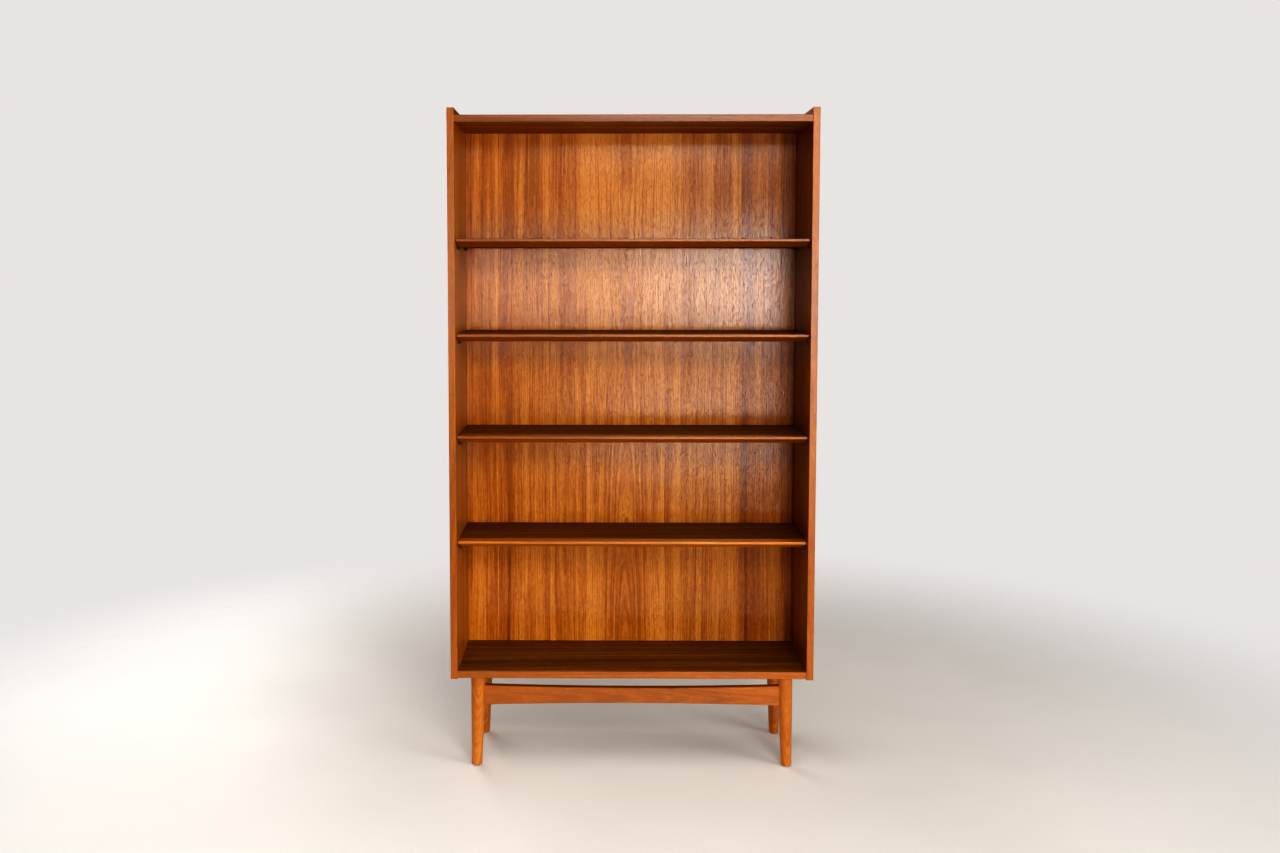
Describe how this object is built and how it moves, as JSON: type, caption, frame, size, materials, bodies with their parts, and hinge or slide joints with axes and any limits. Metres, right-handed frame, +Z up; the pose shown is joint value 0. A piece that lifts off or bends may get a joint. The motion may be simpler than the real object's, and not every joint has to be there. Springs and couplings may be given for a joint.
{
  "type": "bookcase with adjustable shelves",
  "caption": "Tall open teak bookcase: a dowelled case with a thin back, loose shelves on steel pins in rows of holes, and a base of splayed turned legs and waisted rails.",
  "frame": {"origin": "on the floor, under the centre of the case", "axes": "+X to the viewer's right seen from the front, +Y from the front to the back, +Z up"},
  "size_m": [1, 0.3, 1.814],
  "materials": {
    "teak_veneer": "satin lacquered teak veneer",
    "back_veneer": "satin lacquered teak veneer, upright grain",
    "teak_solid": "satin lacquered solid teak",
    "beech": "plain",
    "steel": "turned, slightly dulled",
    "zinc_steel": "zinc plated"
  },
  "bodies": {
    "case": {"side_panel_left": "teak_veneer", "side_front_lipping_left": "steel", "side_top_edging_left": "teak_solid", "side_panel_right": "teak_veneer", "side_front_lipping_right": "steel", "side_top_edging_right": "teak_solid", "top_panel": "teak_veneer", "top_panel_lipping": "steel", "top_panel_dowels": "beech", "bottom_panel": "teak_veneer", "bottom_panel_lipping": "steel", "bottom_panel_dowels": "beech", "back_panel": "back_veneer", "back_panel_screws": "steel", "front_rail": "teak_solid", "rear_rail": "teak_solid", "leg_front_left": "teak_solid", "leg_glide_front_left": "zinc_steel", "leg_front_right": "teak_solid", "leg_glide_front_right": "zinc_steel", "leg_rear_left": "teak_solid", "leg_glide_rear_left": "zinc_steel", "leg_rear_right": "teak_solid", "leg_glide_rear_right": "zinc_steel", "leg_threaded_inserts": "zinc_steel", "leg_hanger_bolts": "zinc_steel"},
    "shelf_1": {"shelf_1_board": "teak_veneer", "shelf_1_lipping": "steel"},
    "shelf_2": {"shelf_2_board": "teak_veneer", "shelf_2_lipping": "steel"},
    "shelf_3": {"shelf_3_board": "teak_veneer", "shelf_3_lipping": "steel"},
    "shelf_4": {"shelf_4_board": "teak_veneer", "shelf_4_lipping": "steel"},
    "shelf_1_pin_front_left": {"shelf_1_pin_front_left": "steel"},
    "shelf_1_pin_front_right": {"shelf_1_pin_front_right": "steel"},
    "shelf_1_pin_rear_left": {"shelf_1_pin_rear_left": "steel"},
    "shelf_1_pin_rear_right": {"shelf_1_pin_rear_right": "steel"},
    "shelf_2_pin_front_left": {"shelf_2_pin_front_left": "steel"},
    "shelf_2_pin_front_right": {"shelf_2_pin_front_right": "steel"},
    "shelf_2_pin_rear_left": {"shelf_2_pin_rear_left": "steel"},
    "shelf_2_pin_rear_right": {"shelf_2_pin_rear_right": "steel"},
    "shelf_3_pin_front_left": {"shelf_3_pin_front_left": "steel"},
    "shelf_3_pin_front_right": {"shelf_3_pin_front_right": "steel"},
    "shelf_3_pin_rear_left": {"shelf_3_pin_rear_left": "steel"},
    "shelf_3_pin_rear_right": {"shelf_3_pin_rear_right": "steel"},
    "shelf_4_pin_front_left": {"shelf_4_pin_front_left": "steel"},
    "shelf_4_pin_front_right": {"shelf_4_pin_front_right": "steel"},
    "shelf_4_pin_rear_left": {"shelf_4_pin_rear_left": "steel"},
    "shelf_4_pin_rear_right": {"shelf_4_pin_rear_right": "steel"}
  },
  "joints": [
    {"name": "shelf_1_lift", "type": "slide", "parent": "case", "child": "shelf_1", "axis": [0, 0, 1], "range_m": [0, 0.05]},
    {"name": "shelf_2_lift", "type": "slide", "parent": "case", "child": "shelf_2", "axis": [0, 0, 1], "range_m": [0, 0.05]},
    {"name": "shelf_3_lift", "type": "slide", "parent": "case", "child": "shelf_3", "axis": [0, 0, 1], "range_m": [0, 0.05]},
    {"name": "shelf_4_lift", "type": "slide", "parent": "case", "child": "shelf_4", "axis": [0, 0, 1], "range_m": [0, 0.05]},
    {"name": "shelf_1_pin_front_left_pull", "type": "slide", "parent": "case", "child": "shelf_1_pin_front_left", "axis": [1, 0, 0], "range_m": [0, 0.009]},
    {"name": "shelf_1_pin_front_right_pull", "type": "slide", "parent": "case", "child": "shelf_1_pin_front_right", "axis": [-1, 0, 0], "range_m": [0, 0.009]},
    {"name": "shelf_1_pin_rear_left_pull", "type": "slide", "parent": "case", "child": "shelf_1_pin_rear_left", "axis": [1, 0, 0], "range_m": [0, 0.009]},
    {"name": "shelf_1_pin_rear_right_pull", "type": "slide", "parent": "case", "child": "shelf_1_pin_rear_right", "axis": [-1, 0, 0], "range_m": [0, 0.009]},
    {"name": "shelf_2_pin_front_left_pull", "type": "slide", "parent": "case", "child": "shelf_2_pin_front_left", "axis": [1, 0, 0], "range_m": [0, 0.009]},
    {"name": "shelf_2_pin_front_right_pull", "type": "slide", "parent": "case", "child": "shelf_2_pin_front_right", "axis": [-1, 0, 0], "range_m": [0, 0.009]},
    {"name": "shelf_2_pin_rear_left_pull", "type": "slide", "parent": "case", "child": "shelf_2_pin_rear_left", "axis": [1, 0, 0], "range_m": [0, 0.009]},
    {"name": "shelf_2_pin_rear_right_pull", "type": "slide", "parent": "case", "child": "shelf_2_pin_rear_right", "axis": [-1, 0, 0], "range_m": [0, 0.009]},
    {"name": "shelf_3_pin_front_left_pull", "type": "slide", "parent": "case", "child": "shelf_3_pin_front_left", "axis": [1, 0, 0], "range_m": [0, 0.009]},
    {"name": "shelf_3_pin_front_right_pull", "type": "slide", "parent": "case", "child": "shelf_3_pin_front_right", "axis": [-1, 0, 0], "range_m": [0, 0.009]},
    {"name": "shelf_3_pin_rear_left_pull", "type": "slide", "parent": "case", "child": "shelf_3_pin_rear_left", "axis": [1, 0, 0], "range_m": [0, 0.009]},
    {"name": "shelf_3_pin_rear_right_pull", "type": "slide", "parent": "case", "child": "shelf_3_pin_rear_right", "axis": [-1, 0, 0], "range_m": [0, 0.009]},
    {"name": "shelf_4_pin_front_left_pull", "type": "slide", "parent": "case", "child": "shelf_4_pin_front_left", "axis": [1, 0, 0], "range_m": [0, 0.009]},
    {"name": "shelf_4_pin_front_right_pull", "type": "slide", "parent": "case", "child": "shelf_4_pin_front_right", "axis": [-1, 0, 0], "range_m": [0, 0.009]},
    {"name": "shelf_4_pin_rear_left_pull", "type": "slide", "parent": "case", "child": "shelf_4_pin_rear_left", "axis": [1, 0, 0], "range_m": [0, 0.009]},
    {"name": "shelf_4_pin_rear_right_pull", "type": "slide", "parent": "case", "child": "shelf_4_pin_rear_right", "axis": [-1, 0, 0], "range_m": [0, 0.009]}
  ]
}
